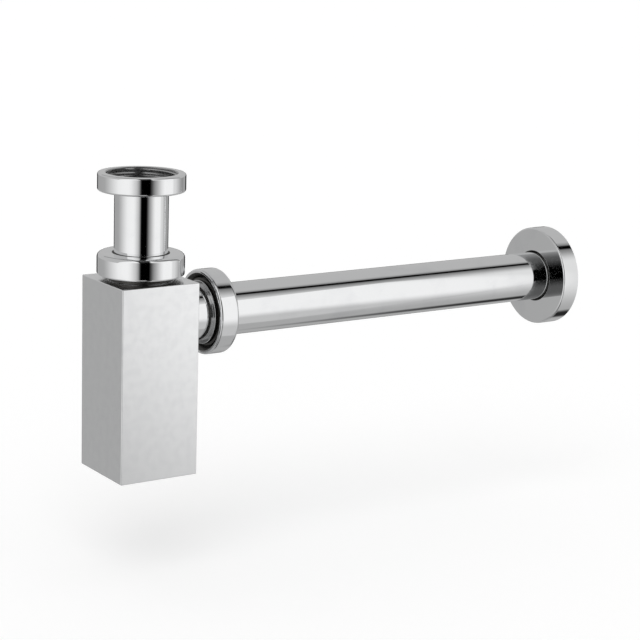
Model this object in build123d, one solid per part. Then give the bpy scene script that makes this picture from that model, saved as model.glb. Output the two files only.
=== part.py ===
"""Square-bodied bottle trap for a wash basin: a chrome-plated brass waste trap, in millimetres.

The origin is the centre of the inlet seat, where the basin's waste tail lands on the inlet washer.
+Z points up the inlet, and +X points along the outlet tube to the wall.
"""

import os

from build123d import *

# Places of the main forms
body_drop = 58.2  # inlet seat down to the top of the square body
outlet_drop = 24.0  # top of the body down to the axis of the outlet
wall_distance = 314.0  # inlet axis to the wall
water_seal = 50.0  # outlet weir down to the mouth of the dip tube

# Square body, a drawn box with a soldered base
body_side = 51.0
body_height = 117.0
body_wall = 1.8
body_edge = 0.5  # rounding of the outer edges
base_web = 1.8  # metal of the base above the plug's recess

# Tubes
tube_diameter = 32.0
tube_wall = 1.1
tube_bevel = 0.3  # broken edges of a sawn tube end
collar_thickness = 1.4  # swaged collar that carries the inlet nut
tube_entry = 1.5  # face of the body to the inner end of the outlet tube
wall_recess = 0.5  # outlet tube stops this far short of the wall

# Pipe thread of the three nuts, whose ridges fill thread_depth
neck_wall = 3.22  # metal between the hole for a tube and the core of the thread
thread_depth = 1.48

# Round nuts
nut_wall = 5.05  # outside of the thread to the outside of the nut
inlet_nut_height = 10.8
seal_nut_height = 13.2
nut_lip = 2.4
nut_edge = 1.4  # rounding of the outer rims
seal_nut_edge = 2.8  # fuller rounding at the lip of the two sealing nuts
nut_mouth = 0.6  # lead-in bevel of the thread
seal_nut_mouth = 2.8  # wide bevel that leaves the sealing nuts a thin rim
hole_bevel = 1.0  # bevel round a tube's hole in a nut or in the flange

# Seals and rings
washer_thickness = 1.6
slip_ring_thickness = 1.2
seal_flange_thickness = 1.4
seal_taper_length = 4.0
seal_toe = 0.6  # thickness of the seal's thin end

# Threaded neck on top of the body and threaded spigot on its side
neck_showing = 2.9  # neck left bare under the body nut
spigot_showing = 15.3  # spigot left bare between the body and the outlet nut
spigot_wall = 0.8
head_showing = 0.6  # shoulder of the spigot's threaded head behind the nut
mouth_wall = 1.1  # metal between the seal's seat and the thread
head_bevel = 0.4

# Wall flange, a shallow cup with a hub that grips the tube
flange_diameter = 65.0
flange_depth = 12.0
flange_wall = 1.4
flange_edge = 1.2
hub_wall = 3.4
hub_length = 6.4
flange_ring_section = 2.0

# Cleaning plug, flush in the base
plug_thread_diameter = 33.2
plug_thread_depth = 1.4
plug_thread_length = 7.0
plug_head_rim = 2.4  # head stands out this far past the thread
plug_head_thickness = 2.6
plug_recess = 0.3  # head sits this far inside the base
plug_wall = 2.6
plug_slot_width = 3.2
plug_slot_depth = 1.5
plug_ring_section = 1.8
boss_wall = 2.6

# Clearances
tube_clearance = 0.25  # radial, between a tube and what it slides through
ring_clearance = 0.2  # radial, between a ring or collar and the bore around it
seal_clearance = 0.08  # radial, between rubber and what it presses on
face_clearance = 0.1  # between flat faces that turn or slide on each other
solder_gap = 0.05

# Radii and levels worked out from the values above
tube_radius = tube_diameter / 2
tube_bore = tube_radius - tube_wall
tube_hole = tube_radius + tube_clearance
thread_core = tube_hole + neck_wall
thread_outer = thread_core + thread_depth
nut_radius = thread_outer + nut_wall
seat_ring = thread_core - ring_clearance  # outer radius of what lies inside a nut
seal_bore = tube_radius + seal_clearance
body_top = -body_drop
body_bottom = body_top - body_height
body_face = body_side / 2
outlet_level = body_top - outlet_drop
weir_level = outlet_level - tube_bore
dip_level = weir_level - water_seal
spigot_radius = tube_hole + spigot_wall

# Local frames: w runs up the inlet, and along the outlet away from the body
inlet_frame = Plane.XY
neck_frame = Plane((0, 0, body_top), x_dir=(1, 0, 0), z_dir=(0, 0, 1))
outlet_frame = Plane((body_face, 0, outlet_level), x_dir=(0, 1, 0), z_dir=(1, 0, 0))
wall_frame = Plane((wall_distance, 0, outlet_level), x_dir=(0, 1, 0), z_dir=(1, 0, 0))
base_frame = Plane((0, 0, body_bottom), x_dir=(1, 0, 0), z_dir=(0, 0, 1))


def turned(*corners):
    """Solid of revolution about the local w axis from (radius, w) corners."""
    outline = Polyline(*[(radius, 0, w) for radius, w in corners], close=True)
    return revolve(make_face(outline), Axis.Z)


def ring(inner, outer, low, high):
    """Plain ring between two radii and two levels."""
    return turned((inner, low), (outer, low), (outer, high), (inner, high))


def round_rim(shape, radius, level, rounding):
    """Rounds the circular edge of the given radius at w = level."""
    tolerance = 1e-4
    rims = [
        edge
        for edge in shape.edges().filter_by(GeomType.CIRCLE)
        if abs(edge.radius - radius) < tolerance and abs(edge.arc_center.Z - level) < tolerance
    ]
    return fillet(rims, rounding)


def torus(centre_radius, section, w):
    """Rubber ring of round section, centred at level w."""
    return Pos(0, 0, w) * Torus(centre_radius, section / 2)


def make_tube(low, high):
    """Straight tube with its sawn ends broken."""
    return turned(
        (tube_bore, low),
        (tube_radius - tube_bevel, low),
        (tube_radius, low + tube_bevel),
        (tube_radius, high - tube_bevel),
        (tube_radius - tube_bevel, high),
        (tube_bore, high),
    )


def make_nut(height, seat_height, lip_edge, mouth_bevel):
    """Round nut with its lip at w = 0, an unthreaded seat above it and the thread's mouth on top."""
    seat_top = nut_lip + seat_height
    nut = turned(
        (tube_hole + hole_bevel, 0),
        (nut_radius, 0),
        (nut_radius, height),
        (thread_outer + mouth_bevel, height),
        (thread_outer, height - mouth_bevel),
        (thread_outer, seat_top),
        (thread_core, seat_top),
        (thread_core, nut_lip),
        (tube_hole, nut_lip),
        (tube_hole, hole_bevel),
    )
    nut = round_rim(nut, nut_radius, 0, lip_edge)
    return round_rim(nut, nut_radius, height, nut_edge)


def turn_over(shape, height):
    """Stands a piece of the given height on its other end."""
    return Pos(0, 0, height) * Rot(180, 0, 0) * shape


# A compression joint: nut, slip ring and tapered seal on a threaded head
seal_stack = slip_ring_thickness + seal_flange_thickness + 2 * face_clearance
head_to_nut_end = nut_lip + seal_stack  # head's mouth to the outer face of the nut
seal_mouth = thread_core - mouth_wall  # widest radius of the seal's seat


def make_seal_nut(showing):
    """Nut of a compression joint whose thread starts at w = showing."""
    nut = make_nut(seal_nut_height, seal_stack, seal_nut_edge, seal_nut_mouth)
    return Pos(0, 0, showing) * turn_over(nut, seal_nut_height)


def make_slip_ring(showing):
    """Plastic ring under the nut's lip, so that the nut doesn't drag the rubber round."""
    high = showing + seal_nut_height - nut_lip - face_clearance
    return ring(tube_hole, seat_ring, high - slip_ring_thickness, high)


def head_mouth(showing):
    """Level of the threaded head's mouth."""
    return showing + seal_nut_height - head_to_nut_end


def make_seal(showing):
    """Tapered rubber ring that the nut presses into the head's mouth, round the tube."""
    mouth = head_mouth(showing)
    return turned(
        (seal_bore, mouth - seal_taper_length),
        (seal_bore + seal_toe, mouth - seal_taper_length),
        (seal_mouth - seal_clearance, mouth),
        (seat_ring, mouth),
        (seat_ring, mouth + seal_flange_thickness),
        (seal_bore, mouth + seal_flange_thickness),
    )


def head_corners(shoulder, showing):
    """Corners of a threaded head, from its shoulder up the outside and down the seal's seat."""
    mouth = head_mouth(showing)
    toe = mouth - seal_taper_length
    return [
        (thread_core - head_bevel, shoulder),
        (thread_core, shoulder + head_bevel),
        (thread_core, mouth - head_bevel),
        (thread_core - head_bevel, mouth),
        (seal_mouth, mouth),
        (seal_bore + seal_toe + seal_clearance, toe),
        (tube_hole, toe),
    ]


def make_body_shell():
    """Square box, closed on top and open below, with holes for the neck and the spigot."""
    middle = (body_top + body_bottom) / 2
    box = Pos(0, 0, middle) * Box(body_side, body_side, body_height)
    box = fillet(box.edges(), body_edge)
    inside = body_side - 2 * body_wall
    box -= Pos(0, 0, middle - body_wall) * Box(inside, inside, body_height)
    neck_hole = Cylinder(neck_root + solder_gap, 4 * body_wall)
    spigot_hole = Cylinder(spigot_radius + solder_gap, 4 * body_wall)
    return box - neck_frame * neck_hole - outlet_frame * spigot_hole


neck_root = seal_mouth  # radius of the neck where it passes through the body's top


def make_neck():
    """Threaded neck, soldered into the top of the body."""
    return turned(
        (tube_hole, -body_wall),
        (neck_root, -body_wall),
        (neck_root, solder_gap),
        *head_corners(solder_gap, neck_showing),
    )


def make_spigot():
    """Outlet stub with a threaded head, soldered into the side of the body."""
    shoulder = spigot_showing - head_showing
    return turned(
        (tube_hole, -body_wall),
        (spigot_radius, -body_wall),
        (spigot_radius, shoulder),
        *head_corners(shoulder, spigot_showing),
    )


# Cleaning plug and base, with w = 0 at the underside of the base
plug_thread_outer = plug_thread_diameter / 2
plug_thread_core = plug_thread_outer - plug_thread_depth
plug_head_radius = plug_thread_outer + plug_head_rim
plug_head_top = plug_recess + plug_head_thickness
plug_ring_level = plug_head_top + face_clearance + plug_ring_section / 2
plug_floor = plug_ring_level + plug_ring_section / 2 + face_clearance  # top of the head's recess
plug_top = plug_floor + plug_thread_length
base_thickness = plug_floor + base_web


def make_base_plate():
    """Square base with a recess for the plug's head and a threaded boss inside."""
    side = body_side - 2 * (body_wall + solder_gap)
    plate = Pos(0, 0, base_thickness / 2) * Box(side, side, base_thickness)
    boss = Pos(0, 0, plug_top / 2) * Cylinder(plug_thread_outer + boss_wall, plug_top)
    recess = Pos(0, 0, plug_floor / 2) * Cylinder(plug_head_radius + ring_clearance, plug_floor)
    hole = Pos(0, 0, plug_top / 2) * Cylinder(plug_thread_outer, plug_top)
    return plate + boss - recess - hole


def make_plug():
    """Hollow screw plug with a coin slot across its flush head."""
    plug = turned(
        (0, plug_recess),
        (plug_head_radius, plug_recess),
        (plug_head_radius, plug_head_top),
        (plug_thread_core, plug_head_top),
        (plug_thread_core, plug_top),
        (plug_thread_core - plug_wall, plug_top),
        (plug_thread_core - plug_wall, plug_head_top),
        (0, plug_head_top),
    )
    slot_level = plug_recess + plug_slot_depth / 2
    slot = Pos(0, 0, slot_level) * Box(2 * plug_head_radius, plug_slot_width, plug_slot_depth)
    return plug - slot


def make_plug_ring():
    """Rubber ring squeezed between the plug's head and the base."""
    return torus(plug_thread_core + ring_clearance + plug_ring_section / 2, plug_ring_section, plug_ring_level)


def make_inlet_tube():
    """Dip tube with a swaged collar at the top, which the inlet nut hangs from."""
    collar_top = -washer_thickness
    collar_low = collar_top - collar_thickness
    collar = ring(tube_bore, seat_ring, collar_low, collar_top)
    return make_tube(dip_level, collar_top) + collar


def make_inlet_washer():
    """Flat rubber washer on the collar, which seals against the basin's waste."""
    return ring(tube_bore, seat_ring, -washer_thickness, 0)


def make_inlet_nut():
    """Union nut that hangs from the collar with its thread upwards."""
    seat_height = collar_thickness + washer_thickness + face_clearance
    nut = make_nut(inlet_nut_height, seat_height, nut_edge, nut_mouth)
    return Pos(0, 0, -seat_height - nut_lip) * nut


# Wall flange, with w = 0 at the wall and the front at w = -flange_depth
hub_radius = tube_hole + hub_wall
flange_radius = flange_diameter / 2
flange_inner = flange_radius - flange_wall
flange_front = -flange_depth
flange_back_plate = flange_front + flange_wall
hub_end = flange_front + hub_length
flange_ring_level = (flange_back_plate + hub_end) / 2
flange_ring_centre = tube_radius + seal_clearance + flange_ring_section / 2
groove_radius = flange_ring_centre + flange_ring_section / 2 + seal_clearance
groove_half = flange_ring_section / 2 + face_clearance


def make_wall_flange():
    """Shallow cup that hides the hole in the wall, with a grooved hub round the tube."""
    flange = turned(
        (tube_hole + hole_bevel, flange_front),
        (flange_radius, flange_front),
        (flange_radius, 0),
        (flange_inner, 0),
        (flange_inner, flange_back_plate),
        (hub_radius, flange_back_plate),
        (hub_radius, hub_end),
        (tube_hole, hub_end),
        (tube_hole, flange_ring_level + groove_half),
        (groove_radius, flange_ring_level + groove_half),
        (groove_radius, flange_ring_level - groove_half),
        (tube_hole, flange_ring_level - groove_half),
        (tube_hole, flange_front + hole_bevel),
    )
    return round_rim(flange, flange_radius, flange_front, flange_edge)


def make_flange_ring():
    """Rubber ring in the hub, which holds the flange where it is pushed on the tube."""
    return torus(flange_ring_centre, flange_ring_section, flange_ring_level)


def make_outlet_tube():
    """Plain tube from inside the spigot to the wall."""
    return make_tube(tube_entry, wall_distance - wall_recess - body_face)


pieces = {
    "body_shell": make_body_shell(),
    "base_plate": base_frame * make_base_plate(),
    "inlet_neck": neck_frame * make_neck(),
    "outlet_spigot": outlet_frame * make_spigot(),
    "cleaning_plug": base_frame * make_plug(),
    "plug_o_ring": base_frame * make_plug_ring(),
    "inlet_tube": inlet_frame * make_inlet_tube(),
    "inlet_washer": inlet_frame * make_inlet_washer(),
    "inlet_nut": inlet_frame * make_inlet_nut(),
    "body_nut": neck_frame * make_seal_nut(neck_showing),
    "body_slip_ring": neck_frame * make_slip_ring(neck_showing),
    "body_seal": neck_frame * make_seal(neck_showing),
    "outlet_nut": outlet_frame * make_seal_nut(spigot_showing),
    "outlet_slip_ring": outlet_frame * make_slip_ring(spigot_showing),
    "outlet_seal": outlet_frame * make_seal(spigot_showing),
    "outlet_tube": outlet_frame * make_outlet_tube(),
    "wall_flange": wall_frame * make_wall_flange(),
    "flange_o_ring": wall_frame * make_flange_ring(),
}

os.makedirs("parts", exist_ok=True)
for name, piece in pieces.items():
    export_step(piece, f"parts/{name}.step")
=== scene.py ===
import math

import bmesh
import bpy
from mathutils import Matrix, Vector


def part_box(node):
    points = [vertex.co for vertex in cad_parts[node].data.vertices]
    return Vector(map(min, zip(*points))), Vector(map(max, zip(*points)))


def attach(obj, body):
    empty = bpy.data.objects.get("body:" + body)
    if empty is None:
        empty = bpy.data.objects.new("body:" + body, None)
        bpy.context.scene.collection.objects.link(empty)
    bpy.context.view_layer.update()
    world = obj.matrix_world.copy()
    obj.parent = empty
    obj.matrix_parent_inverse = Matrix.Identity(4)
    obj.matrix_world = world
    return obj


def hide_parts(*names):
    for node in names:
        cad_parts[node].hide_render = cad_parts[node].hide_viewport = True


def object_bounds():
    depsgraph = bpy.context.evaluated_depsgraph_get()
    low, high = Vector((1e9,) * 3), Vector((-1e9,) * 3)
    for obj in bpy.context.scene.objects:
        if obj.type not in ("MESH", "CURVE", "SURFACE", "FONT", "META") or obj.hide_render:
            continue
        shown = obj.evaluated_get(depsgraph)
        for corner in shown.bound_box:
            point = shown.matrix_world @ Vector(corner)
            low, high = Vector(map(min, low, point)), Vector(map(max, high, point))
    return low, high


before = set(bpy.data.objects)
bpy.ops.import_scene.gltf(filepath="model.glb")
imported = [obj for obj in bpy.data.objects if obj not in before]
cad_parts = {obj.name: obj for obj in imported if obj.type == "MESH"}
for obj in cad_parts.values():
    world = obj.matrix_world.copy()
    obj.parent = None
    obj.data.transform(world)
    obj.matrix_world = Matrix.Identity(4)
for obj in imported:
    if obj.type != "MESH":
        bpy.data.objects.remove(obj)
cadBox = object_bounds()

toMetres = 0.001  # pieces are modelled in millimetres
turnSteps = 144  # facets round a turned piece
roundSteps = 5  # facets of a rounded corner
ringSteps = 24  # facets round the section of a rubber ring
closeGap = 1e-5  # points nearer than this are one point
sharpAngle = 38  # degrees between two faces from which their edge stays crisp


# Places, read from the frame

def spanOf(node):  # lowest and highest corner of a CAD node, in millimetres
    low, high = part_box(node)
    return low / toMetres, high / toMetres


def reachOf(node, line):  # where a node starts and ends along its own axis
    low, high = spanOf(node)
    return low[line["axis"]], high[line["axis"]]


def rimOf(node):  # outer radius of a turned node
    return spanOf(node)[1].y


tubeLow, tubeHigh = spanOf("outlet_tube")
outletLevel = (tubeLow.z + tubeHigh.z) / 2
tubeRadius = (tubeHigh.z - tubeLow.z) / 2
inletLine = {"axis": 2, "place": Matrix.Identity(4)}  # turned pieces stand on local Z
outletLine = {  # turns local Z along X and lifts it to the outlet
    "axis": 0,
    "place": Matrix(((0, 0, 1, 0), (1, 0, 0, 0), (0, 1, 0, outletLevel), (0, 0, 0, 1))),
}

tubeForm = {"wall": 1.1, "clear": 0.25, "bevel": 0.3}
threadForm = {
    "neckWall": 3.22,  # hole for the tube to the core of the thread
    "depth": 1.48,
    "pitch": 2.309,
    "rootWidth": 1.25,
    "crestWidth": 0.4,
    "crestClear": 0.16,  # crest stops this far short of the other thread's root
    "crestRound": 0.12,
    "crestSteps": 2,
    "sink": 0.1,  # ridge starts this far inside its wall
    "fade": 0.22,  # part of a turn in which a ridge rises out of its wall
    "leastRise": 0.05,  # share of its height that a ridge keeps at its ends
    "steps": 72,  # facets in one turn
}
tubeBore = tubeRadius - tubeForm["wall"]
tubeHole = tubeRadius + tubeForm["clear"]
threadCore = tubeHole + threadForm["neckWall"]
threadOuter = threadCore + threadForm["depth"]


# Shader sockets that take plain arithmetic

def grey(shade):
    return (shade, shade, shade, 1)


class Wire:
    def __init__(self, tree, socket=None):
        self.tree = tree
        self.socket = socket

    def add(self, kind, settings=None, sockets=None, output=0):  # any node, with settings first
        node = self.tree.nodes.new("ShaderNode" + kind)
        for key, value in (settings or {}).items():
            if key == "stops":
                self.setStops(node.color_ramp, value)
            else:
                setattr(node, key, value)
        for key, value in (sockets or {}).items():
            if isinstance(value, Wire):
                self.tree.links.new(value.socket, node.inputs[key])
            else:
                node.inputs[key].default_value = value
        return Wire(self.tree, node.outputs[output] if len(node.outputs) else None)

    def setStops(self, ramp, stops):
        ends = (ramp.elements[0], ramp.elements[1])
        for element, (position, shade) in zip(ends, (stops[0], stops[-1])):
            element.position = position
            element.color = grey(shade)
        for position, shade in stops[1:-1]:
            ramp.elements.new(position).color = grey(shade)

    def math(self, operation, first, second=0.0):
        return self.add("Math", {"operation": operation}, {0: first, 1: second})

    def noise(self, place, scale, detail):
        return self.add("TexNoise", sockets={"Vector": place, "Scale": scale, "Detail": detail})

    def between(self, low, high):  # 0 below low, 1 above high, smooth in between
        ends = {"Value": self, "From Min": low, "From Max": high}
        return self.add("MapRange", {"interpolation_type": "SMOOTHSTEP"}, ends)

    def within(self, ends):  # up between the first two ends and down between the last two
        return self.between(ends[0], ends[1]) * (1 - self.between(ends[2], ends[3]))

    def towards(self, direction):  # share of this vector along a direction
        return self.add("VectorMath", {"operation": "DOT_PRODUCT"}, {0: self, 1: direction}, "Value")

    def blend(self, first, second):  # colour mix with this socket as the factor
        ends = {0: self, 6: first, 7: second}
        return self.add("Mix", {"data_type": "RGBA"}, ends, 2)

    def __add__(self, other):
        return self.math("ADD", self, other)

    def __radd__(self, other):
        return self.math("ADD", other, self)

    def __sub__(self, other):
        return self.math("SUBTRACT", self, other)

    def __rsub__(self, other):
        return self.math("SUBTRACT", other, self)

    def __mul__(self, other):
        return self.math("MULTIPLY", self, other)

    def __rmul__(self, other):
        return self.math("MULTIPLY", other, self)


def newMaterial(name):
    material = bpy.data.materials.new(name)
    material.use_nodes = True
    material.node_tree.nodes.clear()
    return material, Wire(material.node_tree)


# Finishes

polishedLook = {
    "bright": (0.885, 0.89, 0.895, 1),
    "dull": (0.84, 0.845, 0.855, 1),
    "shine": 0.045,  # roughness of the clean plate
    "film": 0.05,  # roughness that a dried water film adds
    "filmScale": 55,
    "filmDetail": 4,
    "filmEdge": (0.48, 0.72),
    "waveScale": 34,  # faint waves in the plate
    "waveDetail": 1,
    "waveHeight": 0.00002,
    "thread": (0.1, 0.097, 0.093, 1),  # greased, unpolished metal inside the joints, darkened further as painted shade in their recesses and mouths
    "threadShine": 0.32,  # roughness that it adds
}


def polishedChrome():
    material, wire = newMaterial("polishedChrome")
    place = wire.add("TexCoord", output="Object")
    film = wire.noise(place, polishedLook["filmScale"], polishedLook["filmDetail"])
    film = film.between(*polishedLook["filmEdge"])
    wave = wire.noise(place, polishedLook["waveScale"], polishedLook["waveDetail"])
    bump = wire.add("Bump", sockets={"Height": wave, "Distance": polishedLook["waveHeight"]})
    # the inside mark darkens the plate towards this colour: grease on the threads, and painted shade in
    # the joints' recesses
    inside = wire.add("Attribute", {"attribute_name": "inside"}, output="Fac")
    plate = film.blend(polishedLook["bright"], polishedLook["dull"])
    shine = polishedLook["shine"] + film * polishedLook["film"]
    surface = wire.add("BsdfPrincipled", sockets={
        "Base Color": inside.blend(plate, polishedLook["thread"]),
        "Metallic": 1.0,
        "Roughness": shine + inside * polishedLook["threadShine"],
        "Normal": bump,
    })
    wire.add("OutputMaterial", sockets={"Surface": surface})
    return material


satinLook = {
    "bright": (0.93, 0.935, 0.94, 1),
    "dull": (0.905, 0.91, 0.918, 1),
    "shine": 0.17,
    "cloud": 0.04,  # roughness that the cloudy spots add
    "cloudScale": 190,
    "cloudDetail": 5,
    "cloudEdge": (0.35, 0.7),
    "grainScale": (900, 900, 60),  # fine grain that runs up the faces
    "grainDetail": 2,
    "grainHeight": 0.00001,
}


def satinChrome():
    material, wire = newMaterial("satinChrome")
    place = wire.add("TexCoord", output="Object")
    cloud = wire.noise(place, satinLook["cloudScale"], satinLook["cloudDetail"])
    cloud = cloud.between(*satinLook["cloudEdge"])
    along = wire.add("Mapping", sockets={"Vector": place, "Scale": satinLook["grainScale"]})
    grain = wire.noise(along, 1.0, satinLook["grainDetail"])
    bump = wire.add("Bump", sockets={"Height": grain, "Distance": satinLook["grainHeight"]})
    surface = wire.add("BsdfPrincipled", sockets={
        "Base Color": cloud.blend(satinLook["bright"], satinLook["dull"]),
        "Metallic": 1.0,
        "Roughness": satinLook["shine"] + cloud * satinLook["cloud"],
        "Normal": bump,
    })
    wire.add("OutputMaterial", sockets={"Surface": surface})
    return material


rubberLook = {
    "dark": (0.018, 0.018, 0.019, 1),
    "worn": (0.05, 0.05, 0.05, 1),
    "shine": 0.55,
    "speck": 0.2,  # roughness that the specks add
    "speckScale": 420,
    "speckDetail": 3,
    "speckEdge": (0.45, 0.8),
    "speckHeight": 0.00004,
}


def sealRubber():
    material, wire = newMaterial("sealRubber")
    place = wire.add("TexCoord", output="Object")
    speck = wire.noise(place, rubberLook["speckScale"], rubberLook["speckDetail"])
    bump = wire.add("Bump", sockets={"Height": speck, "Distance": rubberLook["speckHeight"]})
    worn = speck.between(*rubberLook["speckEdge"])
    surface = wire.add("BsdfPrincipled", sockets={
        "Base Color": worn.blend(rubberLook["dark"], rubberLook["worn"]),
        "Roughness": rubberLook["shine"] + speck * rubberLook["speck"],
        "Normal": bump,
    })
    wire.add("OutputMaterial", sockets={"Surface": surface})
    return material


plasticLook = {
    "pale": (0.82, 0.82, 0.79, 1),
    "warm": (0.74, 0.735, 0.69, 1),
    "shine": 0.42,
    "flow": 0.12,  # roughness that the moulding's flow marks add
    "flowScale": 160,
    "flowDetail": 4,
}


def slipPlastic():
    material, wire = newMaterial("slipPlastic")
    place = wire.add("TexCoord", output="Object")
    flow = wire.noise(place, plasticLook["flowScale"], plasticLook["flowDetail"])
    surface = wire.add("BsdfPrincipled", sockets={
        "Base Color": flow.blend(plasticLook["pale"], plasticLook["warm"]),
        "Roughness": plasticLook["shine"] + flow * plasticLook["flow"],
    })
    wire.add("OutputMaterial", sockets={"Surface": surface})
    return material


finishes = {
    "chrome": polishedChrome(),
    "body_chrome": satinChrome(),
    "rubber": sealRubber(),
    "slip_plastic": slipPlastic(),
}
print("finishes:", ", ".join(finishes))


# Turned shapes, threads and finished pieces

def spun(mesh):  # an outline beside Z makes a full turn about it
    bmesh.ops.spin(
        mesh, geom=mesh.verts[:] + mesh.edges[:], axis=(0, 0, 1), cent=(0, 0, 0),
        angle=2 * math.pi, steps=turnSteps, use_merge=True,
    )
    bmesh.ops.remove_doubles(mesh, verts=mesh.verts[:], dist=closeGap)
    bmesh.ops.recalc_face_normals(mesh, faces=mesh.faces[:])
    return mesh


def turned(*corners):  # corners are (radius, along) with a rounding as an optional third value
    mesh = bmesh.new()
    points = [mesh.verts.new((corner[0], 0, corner[1])) for corner in corners]
    mesh.faces.new(points)
    for point, corner in zip(points, corners):
        if len(corner) > 2:
            bmesh.ops.bevel(
                mesh, geom=[point], offset=corner[2], offset_type="OFFSET", segments=roundSteps,
                profile=0.5, affect="VERTICES", material=-1,
            )
    bmesh.ops.delete(mesh, geom=mesh.faces[:], context="FACES_ONLY")
    axisEdges = [edge for edge in mesh.edges if all(point.co.x < closeGap for point in edge.verts)]
    bmesh.ops.delete(mesh, geom=axisEdges, context="EDGES")
    return spun(mesh)


def ringOf(inner, outer, low, high, rounding):
    return turned(
        (inner, low, rounding), (outer, low, rounding),
        (outer, high, rounding), (inner, high, rounding),
    )


def roundRing(centre, section, along):  # rubber ring of round section
    mesh = bmesh.new()
    across = Matrix.Rotation(math.pi / 2, 4, "X")
    place = Matrix.Translation((centre, 0, along)) @ across
    bmesh.ops.create_circle(mesh, radius=section / 2, segments=ringSteps, matrix=place)
    return spun(mesh)


def ridge(root, crest, low, high, level):  # one right-handed ridge whose middle passes level at angle 0
    outwards = 1 if crest > root else -1
    base = root - outwards * threadForm["sink"]
    tip = crest - outwards * threadForm["crestClear"]
    wide = threadForm["rootWidth"] / 2
    slim = threadForm["crestWidth"] / 2
    pitch = threadForm["pitch"]
    turns = (high - low) / pitch
    steps = round(turns * threadForm["steps"])
    mesh = bmesh.new()
    corners = [(base, -wide), (tip, -slim), (tip, slim), (base, wide)]
    points = [mesh.verts.new((radius, 0, low + along)) for radius, along in corners]
    mesh.faces.new(points)
    bmesh.ops.bevel(
        mesh, geom=points[1:3], offset=threadForm["crestRound"], offset_type="OFFSET",
        segments=threadForm["crestSteps"], profile=0.5, affect="VERTICES", material=-1,
    )
    bmesh.ops.delete(mesh, geom=mesh.faces[:], context="FACES_ONLY")
    bmesh.ops.spin(
        mesh, geom=mesh.verts[:] + mesh.edges[:], axis=(0, 0, 1), cent=(0, 0, 0),
        dvec=(0, 0, (high - low) / steps), angle=turns * 2 * math.pi, steps=steps,
    )
    bmesh.ops.holes_fill(mesh, edges=[edge for edge in mesh.edges if edge.is_boundary], sides=0)
    for point in mesh.verts:  # the ridge rises out of its wall at both ends
        turn = math.atan2(point.co.y, point.co.x) / (2 * math.pi) % 1
        turn += round((point.co.z - low) / pitch - turn)
        rise = min(turn, turns - turn) / threadForm["fade"]
        rise = min(max(rise, threadForm["leastRise"]), 1)
        radius = point.co.xy.length
        point.co.xy *= (base + (radius - base) * rise) / radius
    angle = (low - level) / pitch * 2 * math.pi
    bmesh.ops.rotate(mesh, verts=mesh.verts[:], matrix=Matrix.Rotation(angle, 3, "Z"))
    bmesh.ops.recalc_face_normals(mesh, faces=mesh.faces[:])
    return mesh


def markGreaseAndShade(mesh, greaseAndShade):  # the darkening by grease and painted shade comes from a point's radius and its place along the axis
    layer = mesh.verts.layers.float.new("inside")
    for point in mesh.verts:
        point[layer] = greaseAndShade(point.co.xy.length, point.co.z)
    return mesh


def joined(*meshes):  # several shells as one mesh
    whole = bmesh.new()
    for mesh in meshes:
        holder = bpy.data.meshes.new("holder")
        mesh.to_mesh(holder)
        mesh.free()
        whole.from_mesh(holder)
        bpy.data.meshes.remove(holder)
    return whole


def finished(name, mesh, line, body, slot, node):  # bmesh in millimetres to a riding piece
    place = Matrix.Scale(toMetres, 4) @ line["place"]
    bmesh.ops.transform(mesh, matrix=place, verts=mesh.verts[:])
    data = bpy.data.meshes.new(name)
    mesh.to_mesh(data)
    mesh.free()
    data.shade_smooth()
    data.set_sharp_from_angle(angle=math.radians(sharpAngle))
    data.materials.append(finishes[slot])
    piece = bpy.data.objects.new(name, data)
    bpy.context.scene.collection.objects.link(piece)
    shade = piece.modifiers.new("evenShade", "WEIGHTED_NORMAL")
    shade.keep_sharp = True
    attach(piece, body)
    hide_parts(node)


def cutAway(mesh, *cutters):  # subtracts closed meshes
    scene = bpy.context.scene
    holders = []
    for part in (mesh, *cutters):
        data = bpy.data.meshes.new("holder")
        part.to_mesh(data)
        part.free()
        holder = bpy.data.objects.new("holder", data)
        scene.collection.objects.link(holder)
        holders.append(holder)
    target = holders[0]
    for cutter in holders[1:]:
        cut = target.modifiers.new("cut", "BOOLEAN")
        cut.operation = "DIFFERENCE"
        cut.solver = "EXACT"
        cut.object = cutter
    graph = bpy.context.evaluated_depsgraph_get()
    result = bmesh.new()
    result.from_mesh(target.evaluated_get(graph).data)
    for holder in holders:
        data = holder.data
        bpy.data.objects.remove(holder)
        bpy.data.meshes.remove(data)
    return result


def block(low, high):  # closed box between two corners
    mesh = bmesh.new()
    middle = (Vector(low) + Vector(high)) / 2
    size = Vector(high) - Vector(low)
    place = Matrix.Translation(middle) @ Matrix.Diagonal((*size, 1))
    bmesh.ops.create_cube(mesh, size=1, matrix=place)
    return mesh


def rod(radius, low, high, line):  # closed cylinder along a line
    mesh = turned((0, low), (radius, low), (radius, high), (0, high))
    bmesh.ops.transform(mesh, matrix=line["place"], verts=mesh.verts[:])
    return mesh


# Square body and base

bodyForm = {
    "wall": 1.8,
    "edge": 0.5,
    "gap": 0.05,  # round the neck and the stub
    "mouthWall": 1.1,  # mouth of a seal's cone to the core of the thread
    "spigotWall": 0.8,
    "holeReach": 3.0,  # a hole's cutter goes this far both ways from the face
}
shellLow, shellHigh = spanOf("body_shell")
sealMouth = threadCore - bodyForm["mouthWall"]
spigotRadius = tubeHole + bodyForm["spigotWall"]


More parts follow.
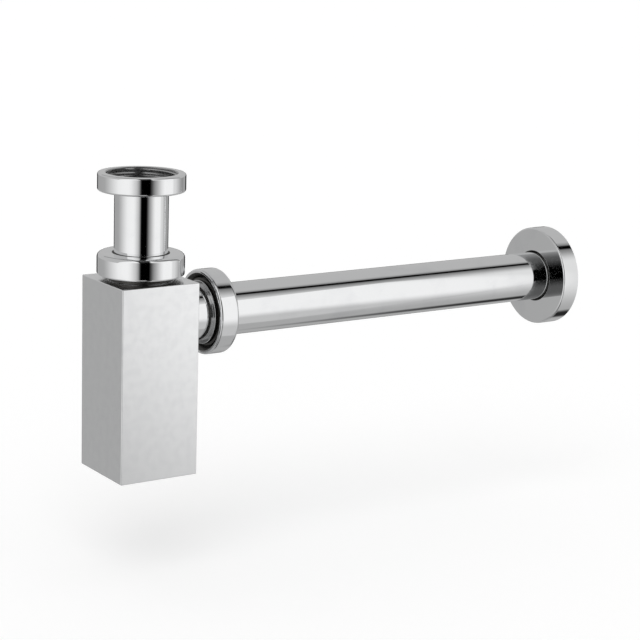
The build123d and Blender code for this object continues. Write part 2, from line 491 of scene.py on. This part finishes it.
def makeBodyShell():
    wall = Vector((bodyForm["wall"],) * 3)
    mesh = block(shellLow, shellHigh)
    bmesh.ops.bevel(
        mesh, geom=mesh.edges[:], offset=bodyForm["edge"], offset_type="OFFSET", segments=roundSteps,
        profile=0.5, affect="EDGES", material=-1,
    )
    below = Vector((0, 0, 2 * bodyForm["wall"]))  # the box is open underneath
    inside = block(shellLow + wall - below, shellHigh - wall)
    gap = bodyForm["gap"]
    reach = bodyForm["holeReach"]
    neckHole = rod(sealMouth + gap, shellHigh.z - reach, shellHigh.z + reach, inletLine)
    spigotHole = rod(spigotRadius + gap, shellHigh.x - reach, shellHigh.x + reach, outletLine)
    mesh = cutAway(mesh, inside, neckHole, spigotHole)
    finished("bodyShell", mesh, inletLine, "trap", "body_chrome", "body_shell")


plugForm = {
    "threadDepth": 1.4,
    "threadMargin": 0.8,  # bare wall at each end of the thread
    "rim": 2.4,  # head past the thread
    "head": 2.6,
    "headEdge": 0.35,
    "headBackEdge": 0.2,
    "root": 0.2,
    "wall": 2.6,
    "tipEdge": 0.5,
    "boreEdge": 0.3,
    "cupRound": 1.2,
    "slotWidth": 3.2,
    "slotDepth": 1.5,
    "clear": 0.2,
    "ring": 1.8,
    "faceGap": 0.1,
    "bossWall": 2.6,
    "bossEdge": 0.3,
    "baseWeb": 1.8,
    "cutReach": 1.0,  # cutters go this far past a face
}
baseLow, baseHigh = spanOf("base_plate")
plugLow, plugHigh = spanOf("cleaning_plug")
plugHeadRadius = plugHigh.x
plugOuter = plugHeadRadius - plugForm["rim"]
plugCore = plugOuter - plugForm["threadDepth"]
plugHeadTop = plugLow.z + plugForm["head"]
plugFloor = plugHeadTop + plugForm["ring"] + 2 * plugForm["faceGap"]
plugThreadLow = plugFloor + plugForm["threadMargin"]


def makeBasePlate():
    plateTop = plugFloor + plugForm["baseWeb"]
    plate = block(baseLow, Vector((baseHigh.x, baseHigh.y, plateTop)))
    reach = plugForm["cutReach"]
    recess = rod(plugHeadRadius + plugForm["clear"], baseLow.z - reach, plugFloor, inletLine)
    hole = rod(plugOuter, baseLow.z - reach, plateTop + reach, inletLine)
    plate = cutAway(plate, recess, hole)
    bossRadius = plugOuter + plugForm["bossWall"]
    boss = ringOf(plugOuter, bossRadius, plateTop, baseHigh.z, plugForm["bossEdge"])
    threadHigh = baseHigh.z - plugForm["threadMargin"]
    halfPitch = threadForm["pitch"] / 2
    thread = ridge(plugOuter, plugCore, plugThreadLow, threadHigh, plugFloor + halfPitch)
    finished("basePlate", joined(plate, boss, thread), inletLine, "trap", "body_chrome", "base_plate")


def makeCleaningPlug():
    bore = plugCore - plugForm["wall"]
    plug = turned(
        (0, plugLow.z), (plugHeadRadius, plugLow.z, plugForm["headEdge"]),
        (plugHeadRadius, plugHeadTop, plugForm["headBackEdge"]), (plugCore, plugHeadTop, plugForm["root"]),
        (plugCore, plugHigh.z, plugForm["tipEdge"]), (bore, plugHigh.z, plugForm["boreEdge"]),
        (bore, plugHeadTop, plugForm["cupRound"]), (0, plugHeadTop),
    )
    half = plugForm["slotWidth"] / 2
    reach = plugForm["cutReach"]
    slot = block(
        (-plugHeadRadius - reach, -half, plugLow.z - reach),
        (plugHeadRadius + reach, half, plugLow.z + plugForm["slotDepth"]),
    )
    threadHigh = plugHigh.z - plugForm["threadMargin"]
    thread = ridge(plugCore, plugOuter, plugThreadLow, threadHigh, plugFloor)
    mesh = joined(cutAway(plug, slot), thread)
    finished("cleaningPlug", mesh, inletLine, "plug", "chrome", "cleaning_plug")


def makePlugRing():
    low, high = spanOf("plug_o_ring")
    section = high.z - low.z
    mesh = roundRing(high.x - section / 2, section, (low.z + high.z) / 2)
    finished("plugRing", mesh, inletLine, "plug_ring", "rubber", "plug_o_ring")


makeBodyShell()
makeBasePlate()
makeCleaningPlug()
makePlugRing()
print("body and base made")


# Tubes

collarForm = {"thick": 1.4, "edge": 0.3, "root": 0.5}


def makeInletTube():
    low, high = reachOf("inlet_tube", inletLine)
    rim = spanOf("inlet_tube")[1].x
    under = high - collarForm["thick"]
    bevel = tubeForm["bevel"]
    mesh = turned(
        (tubeBore, low, bevel), (tubeRadius, low, bevel),
        (tubeRadius, under, collarForm["root"]), (rim, under, collarForm["edge"]),
        (rim, high, collarForm["edge"]), (tubeBore, high, bevel),
    )
    finished("inletTube", mesh, inletLine, "inlet", "chrome", "inlet_tube")


def makeOutletTube():
    low, high = reachOf("outlet_tube", outletLine)
    mesh = ringOf(tubeBore, tubeRadius, low, high, tubeForm["bevel"])
    finished("outletTube", mesh, outletLine, "outlet", "chrome", "outlet_tube")


makeInletTube()
makeOutletTube()
print("tubes made")


# Nuts, threaded heads, slip rings and seals

nutForm = {
    "lip": 2.4,
    "edge": 1.4,
    "holeBevel": 1.0,
    "crease": 0.2,
    "shadeFrom": 0.12,  # the grease and painted shade start this far behind the lip's outer face
}
# the last value is how far grease and painted shade darken the nut's inside
unionNutForm = {"lipEdge": 1.4, "mouth": 0.6, "greaseAndShade": 0.45}
sealNutForm = {"lipEdge": 2.8, "mouth": 2.8, "greaseAndShade": 1.0}  # a wide bevel leaves a thin rim


def makeNut(name, node, body, line, form, lipFace, mouthFace, seatLevel):
    way = 1 if mouthFace > lipFace else -1
    height = abs(mouthFace - lipFace)
    seat = abs(seatLevel - lipFace)
    mouthRadius = threadOuter + form["mouth"]

    def at(distance):  # level at a distance from the lip's outer face
        return lipFace + way * distance

    rim = rimOf(node)
    crease = nutForm["crease"]
    shell = turned(
        (tubeHole, at(nutForm["holeBevel"])), (tubeHole + nutForm["holeBevel"], at(0), crease),
        (rim, at(0), form["lipEdge"]),
        (rim, at(height), nutForm["edge"]), (mouthRadius, at(height), crease),
        (threadOuter, at(height - form["mouth"])), (threadOuter, at(seat)),
        (threadCore, at(seat)), (threadCore, at(nutForm["lip"])),
        (tubeHole, at(nutForm["lip"]), crease),
    )
    half = threadForm["rootWidth"] / 2
    ends = sorted((at(seat + half + threadForm["sink"]), at(height - form["mouth"] - half)))
    thread = ridge(threadOuter, threadCore, *ends, seatLevel + threadForm["pitch"] / 2)

    def greaseAndShade(radius, along):  # greased inside, darkened further as painted shade
        inner = radius < mouthRadius and way * (along - lipFace) > nutForm["shadeFrom"]
        return form["greaseAndShade"] if inner else 0.0

    finished(name, markGreaseAndShade(joined(shell, thread), greaseAndShade), line, body, "chrome", node)


headForm = {
    "bevel": 0.4,
    "root": 0.15,  # rounding where the stub meets its shoulder
    "coneEdge": 0.1,
    "threadMargin": 0.9,  # bare wall at each end of the thread
    "threadGreaseAndShade": 1.0,
    "shadeDepth": 0.6,  # the grease and painted shade reach this far in from the thread's core
    "shadeFrom": 0.2,  # and start this far past the shoulder
    # the shoulder that faces the body is darkened as painted shade
    "shoulderPaintedShade": 0.5,
    "spigotShowing": 0.6,  # of the head, in front of the outlet nut
}
sealForm = {
    "taper": 4.0,  # length of the cone
    "toe": 0.6,
    "toeEdge": 0.1,
    "clear": 0.08,
    "edge": 0.2,
}
ringForm = {"edge": 0.2}


def makeHead(name, node, line, shoulder, mouth, stub):  # threaded head with a cone for the seal
    bevel = headForm["bevel"]
    root = headForm["root"]
    toe = mouth - sealForm["taper"]
    toeRadius = tubeRadius + sealForm["toe"] + 2 * sealForm["clear"]
    low = reachOf(node, line)[0]
    shell = turned(
        (tubeHole, low), (stub, low), (stub, shoulder, root),
        (threadCore, shoulder, bevel), (threadCore, mouth, bevel),
        (sealMouth, mouth, headForm["coneEdge"]), (toeRadius, toe), (tubeHole, toe),
    )
    margin = headForm["threadMargin"]
    thread = ridge(threadCore, threadOuter, shoulder + margin, mouth - margin, mouth)

    def greaseAndShade(radius, along):  # greased thread with painted shade, and painted shade on the shoulder, less dark
        if radius > threadCore - headForm["shadeDepth"] and along > shoulder + headForm["shadeFrom"]:
            return headForm["threadGreaseAndShade"]
        facing = radius > stub + root / 2 and abs(along - shoulder) < root / 2
        return headForm["shoulderPaintedShade"] if facing else 0.0

    finished(name, markGreaseAndShade(joined(shell, thread), greaseAndShade), line, "trap", "chrome", node)


def makeSeal(name, node, line):  # returns the level of the cone's mouth
    low, high = reachOf(node, line)
    bore = tubeRadius + sealForm["clear"]
    rim = rimOf(node)
    mouth = low + sealForm["taper"]
    edge = sealForm["edge"]
    mesh = turned(
        (bore, low, sealForm["toeEdge"]), (bore + sealForm["toe"], low, sealForm["toeEdge"]),
        (sealMouth - sealForm["clear"], mouth), (rim, mouth, edge),
        (rim, high, edge), (bore, high, edge),
    )
    finished(name, mesh, line, "trap", "rubber", node)
    return mouth


def makeRing(name, node, line, body, slot, bore):
    low, high = reachOf(node, line)
    mesh = ringOf(bore, rimOf(node), low, high, ringForm["edge"])
    finished(name, mesh, line, body, slot, node)


inletNutLow, inletNutHigh = reachOf("inlet_nut", inletLine)
washerTop = reachOf("inlet_washer", inletLine)[1]
makeNut("inletNut", "inlet_nut", "inlet_union", inletLine, unionNutForm,
        inletNutLow, inletNutHigh, washerTop)
makeRing("inletWasher", "inlet_washer", inletLine, "inlet", "rubber", tubeBore)

bodyMouth = makeSeal("bodySeal", "body_seal", inletLine)
bodyNutLow, bodyNutHigh = reachOf("body_nut", inletLine)
makeHead("inletNeck", "inlet_neck", inletLine, shellHigh.z + bodyForm["gap"], bodyMouth, sealMouth)
makeNut("bodyNut", "body_nut", "body_union", inletLine, sealNutForm,
        bodyNutHigh, bodyNutLow, bodyMouth)
makeRing("bodySlipRing", "body_slip_ring", inletLine, "body_ring", "slip_plastic", tubeHole)

outletMouth = makeSeal("outletSeal", "outlet_seal", outletLine)
outletNutLow, outletNutHigh = reachOf("outlet_nut", outletLine)
makeHead("outletSpigot", "outlet_spigot", outletLine, outletNutLow - headForm["spigotShowing"],
         outletMouth, spigotRadius)
makeNut("outletNut", "outlet_nut", "outlet_union", outletLine, sealNutForm,
        outletNutHigh, outletNutLow, outletMouth)
makeRing("outletSlipRing", "outlet_slip_ring", outletLine, "outlet_ring", "slip_plastic", tubeHole)
print("joints made")


# Wall flange

flangeForm = {
    "wall": 1.4,
    "edge": 1.2,
    "backEdge": 0.25,
    "cupRound": 0.8,
    "hubWall": 3.4,
    "hubLength": 6.4,
    "hubRoot": 0.6,
    "hubEdge": 0.4,
    "gap": 0.08,
    "faceGap": 0.1,
    "holeBevel": 1.0,
    "crease": 0.2,
    "boreEdge": 0.3,
    "greaseAndShade": 1.0,  # painted shade of the hub's bore
    "shadeDepth": 0.5,  # wall of the hub that stays polished
    "shadeFrom": 0.12,  # the bore's painted shade starts this far behind the front
}


def makeWallFlange():
    front, back = reachOf("wall_flange", outletLine)
    rim = rimOf("wall_flange")
    wall = flangeForm["wall"]
    plate = front + wall
    hub = tubeHole + flangeForm["hubWall"]
    hubEnd = front + flangeForm["hubLength"]
    bevel = flangeForm["holeBevel"]
    groove = rimOf("flange_o_ring") + flangeForm["gap"]
    ringLow, ringHigh = reachOf("flange_o_ring", outletLine)
    grooveLow = ringLow - flangeForm["faceGap"]
    grooveHigh = ringHigh + flangeForm["faceGap"]
    mesh = turned(
        (tubeHole, front + bevel), (tubeHole + bevel, front, flangeForm["crease"]),
        (rim, front, flangeForm["edge"]),
        (rim, back, flangeForm["backEdge"]), (rim - wall, back, flangeForm["backEdge"]),
        (rim - wall, plate, flangeForm["cupRound"]), (hub, plate, flangeForm["hubRoot"]),
        (hub, hubEnd, flangeForm["hubEdge"]), (tubeHole, hubEnd, flangeForm["boreEdge"]),
        (tubeHole, grooveHigh), (groove, grooveHigh), (groove, grooveLow), (tubeHole, grooveLow),
    )

    def greaseAndShade(radius, along):  # painted shade inside the hub
        inner = radius < hub - flangeForm["shadeDepth"] and along > front + flangeForm["shadeFrom"]
        return flangeForm["greaseAndShade"] if inner else 0.0

    finished("wallFlange", markGreaseAndShade(mesh, greaseAndShade), outletLine, "flange", "chrome", "wall_flange")


def makeFlangeRing():
    low, high = reachOf("flange_o_ring", outletLine)
    section = high - low
    mesh = roundRing(rimOf("flange_o_ring") - section / 2, section, (low + high) / 2)
    finished("flangeRing", mesh, outletLine, "flange", "rubber", "flange_o_ring")


makeWallFlange()
makeFlangeRing()
print("wall flange made")


# Studio: camera, floor, dark cards, lamp and sky

cameraForm = {
    "place": (-0.5446, -0.9928, 0.175),
    "yaw": 34.15,  # turned from +Y towards +X, in degrees
    "pitch": 12.73,  # downwards
    "roll": 1.86,
    "lens": 109.66,
    "sensor": 36.0,
    "near": 0.01,
}


def makeCamera():
    yaw = math.radians(cameraForm["yaw"])
    pitch = math.radians(cameraForm["pitch"])
    roll = math.radians(cameraForm["roll"])
    ahead = Vector((
        math.sin(yaw) * math.cos(pitch), math.cos(yaw) * math.cos(pitch), -math.sin(pitch),
    ))
    level = Vector((math.cos(yaw), -math.sin(yaw), 0))
    upright = level.cross(ahead)
    right = level * math.cos(roll) + upright * math.sin(roll)
    up = upright * math.cos(roll) - level * math.sin(roll)
    data = bpy.data.cameras.new("studioCamera")
    data.lens = cameraForm["lens"]
    data.sensor_width = cameraForm["sensor"]
    data.sensor_fit = "HORIZONTAL"
    data.clip_start = cameraForm["near"]
    camera = bpy.data.objects.new("studioCamera", data)
    turn = Matrix((right, up, -ahead)).transposed().to_4x4()
    camera.matrix_world = Matrix.Translation(cameraForm["place"]) @ turn
    bpy.context.scene.collection.objects.link(camera)
    bpy.context.scene.camera = camera


floorForm = {
    "drop": 0.06,  # below the object
    "size": 30.0,
    "shade": 0.86,
    "lift": 0.25,  # glow that only the camera sees
}


def makeFloor():
    mesh = bmesh.new()
    height = cadBox[0][2] - floorForm["drop"]
    bmesh.ops.create_grid(mesh, size=floorForm["size"], matrix=Matrix.Translation((0, 0, height)))
    data = bpy.data.meshes.new("floor")
    mesh.to_mesh(data)
    mesh.free()
    floor = bpy.data.objects.new("floor", data)
    bpy.context.scene.collection.objects.link(floor)
    material, wire = newMaterial("paleFloor")
    seen = wire.add("LightPath", output="Is Camera Ray")
    matt = wire.add("BsdfDiffuse", sockets={"Color": grey(floorForm["shade"])})
    glow = wire.add("Emission", sockets={"Color": grey(1.0), "Strength": seen * floorForm["lift"]})
    both = wire.add("AddShader", sockets={0: matt, 1: glow})
    under = wire.add("NewGeometry", output="Backfacing")  # clear from below, so the base can be seen
    clear = wire.add("BsdfTransparent")
    surface = wire.add("MixShader", sockets={0: under, 1: both, 2: clear})
    wire.add("OutputMaterial", sockets={"Surface": surface})
    data.materials.append(material)
    floor.visible_glossy = False  # the metal shows the sky instead


cardSteps = 84  # facets of a curved card
frontCardForm = {  # stands round the front, between the trap and the camera
    "radius": 0.65,
    "start": -152.0,  # degrees about the inlet
    "end": -29.5,
    "low": -0.8,
    "high": 0.4,
    "dim": (-0.45, -0.18),  # levels between which it grows dimmer downwards
    "dimShade": 0.6,
    "foot": (-0.28, -0.205),  # levels between which its dark part ends
    "footShade": 0.7,
    "stops": (  # degrees and brightness
        (-152, 0.97), (-145, 0.9), (-138, 0.75), (-131, 0.6), (-125, 0.34), (-120.5, 0.03),
        (-118, 0.0), (-97, 0.0), (-92, 0.08), (-85, 0.3), (-79, 0.45), (-73, 0.62), (-66, 0.82),
        (-58, 0.97), (-36, 0.97), (-33, 0.95), (-31.4, 0.89), (-29.5, 0.8),
    ),
}
archCardForm = {  # goes over the inlet, from the back to the front
    "radius": 0.4,
    "start": 36.0,  # degrees about the outlet tube, from the back upwards
    "end": 142.0,
    "low": -0.09,  # along the outlet tube
    "high": 0.005,
    "stops": (
        (36, 0.34), (55, 0.24), (80, 0.12), (100, 0.09), (117, 0.04), (137, 0.0), (142, 0.0),
    ),
}
underCardForm = {  # the same under the body
    **archCardForm,
    "start": -170.0,
    "end": -30.0,
    "stops": (
        (-170, 0.0), (-158, 0.02), (-146, 0.05), (-128, 0.1), (-87, 0.11), (-70, 0.14),
        (-50, 0.2), (-30, 0.26),
    ),
}


def makeCard(name, cardForm, place):  # dark card, which only shows in the metal
    start = math.radians(cardForm["start"])
    span = math.radians(cardForm["end"] - cardForm["start"])
    corner = Vector((math.cos(start), math.sin(start), 0)) * cardForm["radius"]
    mesh = bmesh.new()
    points = [mesh.verts.new(corner + Vector((0, 0, cardForm[key]))) for key in ("low", "high")]
    edge = mesh.edges.new(points)
    bmesh.ops.spin(
        mesh, geom=[*points, edge], axis=(0, 0, 1), cent=(0, 0, 0), angle=span, steps=cardSteps,
    )
    data = bpy.data.meshes.new(name)
    mesh.to_mesh(data)
    mesh.free()
    card = bpy.data.objects.new(name, data)
    card.matrix_world = place
    bpy.context.scene.collection.objects.link(card)
    material, wire = newMaterial(name + "Shade")
    spot = wire.add("TexCoord", output="Object")
    across, aside, level = (
        wire.add("SeparateXYZ", sockets={"Vector": spot}, output=key) for key in "XYZ"
    )
    share = (wire.math("ARCTAN2", aside, across) - start) * (1 / span)
    width = cardForm["end"] - cardForm["start"]
    stops = [((degrees - cardForm["start"]) / width, shade) for degrees, shade in cardForm["stops"]]
    tone = wire.add("ValToRGB", {"stops": stops}, {"Fac": share})
    bright = 1.0
    if "foot" in cardForm:
        foot = (1 - level.between(*cardForm["foot"])) * cardForm["footShade"]
        tone = wire.math("MAXIMUM", tone, foot)
        bright = cardForm["dimShade"] + level.between(*cardForm["dim"]) * (1 - cardForm["dimShade"])
    glow = wire.add("Emission", sockets={"Color": tone, "Strength": bright})
    wire.add("OutputMaterial", sockets={"Surface": glow})
    data.materials.append(material)
    card.visible_camera = False
    card.visible_diffuse = False
    card.visible_shadow = False
    card.visible_transmission = False


lampForm = {"place": (-0.7, -0.9, 1.5), "spread": 45.0, "power": 0.62}


def makeLamp():
    data = bpy.data.lights.new("softLamp", "SUN")
    data.angle = math.radians(lampForm["spread"])
    data.energy = lampForm["power"]
    lamp = bpy.data.objects.new("softLamp", data)
    lamp.location = lampForm["place"]
    middle = (Vector(cadBox[0]) + Vector(cadBox[1])) / 2
    lamp.rotation_euler = (middle - lamp.location).to_track_quat("-Z", "Y").to_euler()
    lamp.visible_glossy = False
    bpy.context.scene.collection.objects.link(lamp)


skyForm = {
    "plain": 0.72,  # light on matt surfaces
    "over": 0.5,  # overhead and behind
    "under": 0.42,
    "lowFade": (-56, -10),  # degrees of elevation, from the shade below up to the horizon's
    "stops": (  # degrees about the inlet and brightness
        (-180, 0.93), (-165, 0.97), (-90, 0.97), (-60, 0.84), (-48, 0.8), (-32, 0.8), (-20, 0.75),
        (-8, 0.53), (2, 0.36), (12, 0.3), (40, 0.5), (54, 0.2), (64, 0.2), (78, 0.55), (100, 0.38),
        (131, 0.41), (145, 0.53), (158, 0.68), (170, 0.82), (180, 0.93),
    ),
    "stripe": (38, 72, 79, 92),  # dark line overhead, in degrees about the outlet tube
    "stripeShade": 0.22,
    "core": (68, 73, 78, 83),  # and its black middle
    "coreShade": 0.0,
    "stripeEast": (0.0, 0.4),  # both fade in towards the wall
    "band": -107.5,  # dark band from the front card to the zenith and the nadir, in degrees
    "bandWidth": (-0.24, -0.18, 0.18, 0.24),
    "bandBack": (-0.3, -0.05),  # it fades out behind them
    "bandShade": 0.02,
    "gap": (28, 36, 84, 94),  # dark gap at the back of the room, in degrees about the inlet
    "gapRise": (-15, -12, 0, 4),  # and in degrees of elevation
    "gapShade": 0.03,
    "patch": (14, -45),  # dark patch behind and below: azimuth and elevation
    "patchSize": (14, 4),  # degrees from its middle to its edge and to its full depth
    "patchShade": 0.02,
}


def heading(azimuth, elevation=0):  # direction of two angles in degrees
    azimuth = math.radians(azimuth)
    elevation = math.radians(elevation)
    level = math.cos(elevation)
    return (math.cos(azimuth) * level, math.sin(azimuth) * level, math.sin(elevation))


def angles(degrees):
    return [math.radians(value) for value in degrees]


def turnShare(degrees):  # share of the way round, from -180 to 180 degrees
    return (degrees + 180) / 360


def makeSky():
    world = bpy.data.worlds.new("studioSky")
    bpy.context.scene.world = world
    world.use_nodes = True
    world.node_tree.nodes.clear()
    wire = Wire(world.node_tree)
    way = wire.add("TexCoord", output="Generated")
    east, north, up = (wire.add("SeparateXYZ", sockets={"Vector": way}, output=key) for key in "XYZ")
    turn = wire.math("ARCTAN2", north, east) * (0.5 / math.pi) + 0.5  # as turnShare gives it
    rise = wire.math("ARCSINE", up)
    roll = wire.math("ARCTAN2", up, 0 - north)
    stops = [(turnShare(degrees), shade) for degrees, shade in skyForm["stops"]]
    horizon = wire.add("ValToRGB", {"stops": stops}, {"Fac": turn})
    ground = rise.between(*angles(skyForm["lowFade"]))
    sky = ground.blend(grey(skyForm["under"]), horizon)
    stripe = angles(skyForm["stripe"])
    overhead = roll.between(stripe[1], stripe[3])
    sky = overhead.blend(sky, grey(skyForm["over"]))
    eastward = east.between(*skyForm["stripeEast"])
    dark = roll.within(stripe) * eastward
    sky = dark.blend(sky, grey(skyForm["stripeShade"]))
    core = roll.within(angles(skyForm["core"])) * eastward
    sky = core.blend(sky, grey(skyForm["coreShade"]))
    across = way.towards(heading(skyForm["band"] + 90))
    ahead = way.towards(heading(skyForm["band"]))
    band = across.within(skyForm["bandWidth"]) * ahead.between(*skyForm["bandBack"])
    sky = band.blend(sky, grey(skyForm["bandShade"]))
    gap = turn.within([turnShare(degrees) for degrees in skyForm["gap"]])
    gap = gap * rise.within(angles(skyForm["gapRise"]))
    sky = gap.blend(sky, grey(skyForm["gapShade"]))
    near = way.towards(heading(*skyForm["patch"]))
    patch = near.between(*(math.cos(angle) for angle in angles(skyForm["patchSize"])))
    sky = patch.blend(sky, grey(skyForm["patchShade"]))
    seen = wire.add("LightPath", output="Is Camera Ray")
    mirrored = wire.add("LightPath", output="Is Glossy Ray")
    light = mirrored.blend(grey(skyForm["plain"]), sky)
    light = seen.blend(light, grey(1.0))
    glow = wire.add("Background", sockets={"Color": light})
    wire.add("OutputWorld", sockets={"Surface": glow})


makeCamera()
makeFloor()
outletHeight = Matrix.Translation((0, 0, outletLevel * toMetres))
outletWay = outletHeight @ outletLine["place"].to_3x3().to_4x4()  # local Z along the outlet tube
makeCard("frontCard", frontCardForm, Matrix.Identity(4))
makeCard("archCard", archCardForm, outletWay)
makeCard("underCard", underCardForm, outletWay)
makeLamp()
makeSky()
bpy.context.scene.view_settings.view_transform = "Standard"
print("studio made")
